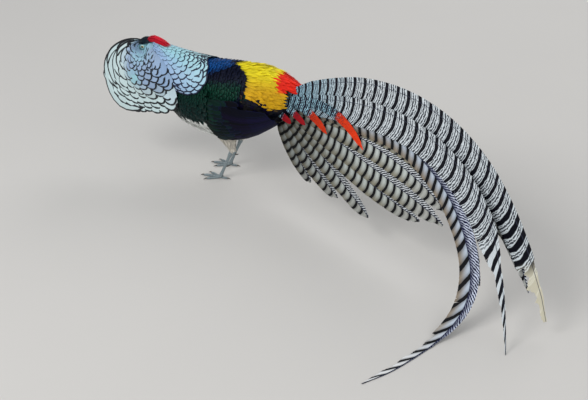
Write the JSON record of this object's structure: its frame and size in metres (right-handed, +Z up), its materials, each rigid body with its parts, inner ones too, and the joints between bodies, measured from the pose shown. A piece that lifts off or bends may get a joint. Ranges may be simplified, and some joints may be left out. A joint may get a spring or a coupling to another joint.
{
  "type": "lady amherst's pheasant",
  "caption": "Life-size still model of a male Lady Amherst's pheasant in sideways display, its cape fanned to the near side and its long barred tail swept down to the floor.",
  "frame": {"origin": "bottom centre of the whole bird's box, on the floor", "axes": "+Z up, the bird faces -X with its near (left) flank towards -Y, and the tail sweeps to +X and -Y"},
  "size_m": [1.1126, 0.7766, 0.3405],
  "materials": {
    "mantle": "satin dark green feathering",
    "rump": "matt yellow feathering",
    "neck": "matt dark feathering",
    "head": "satin green-black feathering",
    "crest": "matt crimson feathering",
    "cape": "white feathers with dark rims",
    "wing": "satin blue-black feathers",
    "tail_centre": "white feathers with dark bars and fine wavy lines",
    "tail_side": "buff-grey feathers with black crescents",
    "tail_red": "orange-red feathers",
    "thigh": "matt white feathering",
    "leg": "blue-grey scaled skin",
    "bill": "smooth grey horn",
    "eye": "clear pale iris with a dark pupil"
  },
  "bodies": {
    "root": {"torso": "mantle", "rump": "rump", "neck": "neck", "head": "head", "bill_upper": "bill", "bill_lower": "bill", "eye_left": "eye", "eye_right": "eye", "crest": "crest", "cape_fan": "cape", "cape_nape": "cape", "wing_left": "wing", "wing_right": "wing", "tail_central": "tail_centre", "tail_near": "tail_side", "tail_far": "tail_side", "tail_long_plume": "tail_side", "tail_coverts": "tail_red", "thigh_left": "thigh", "thigh_right": "thigh", "foot_left": "leg", "foot_right": "leg"}
  },
  "joints": []
}
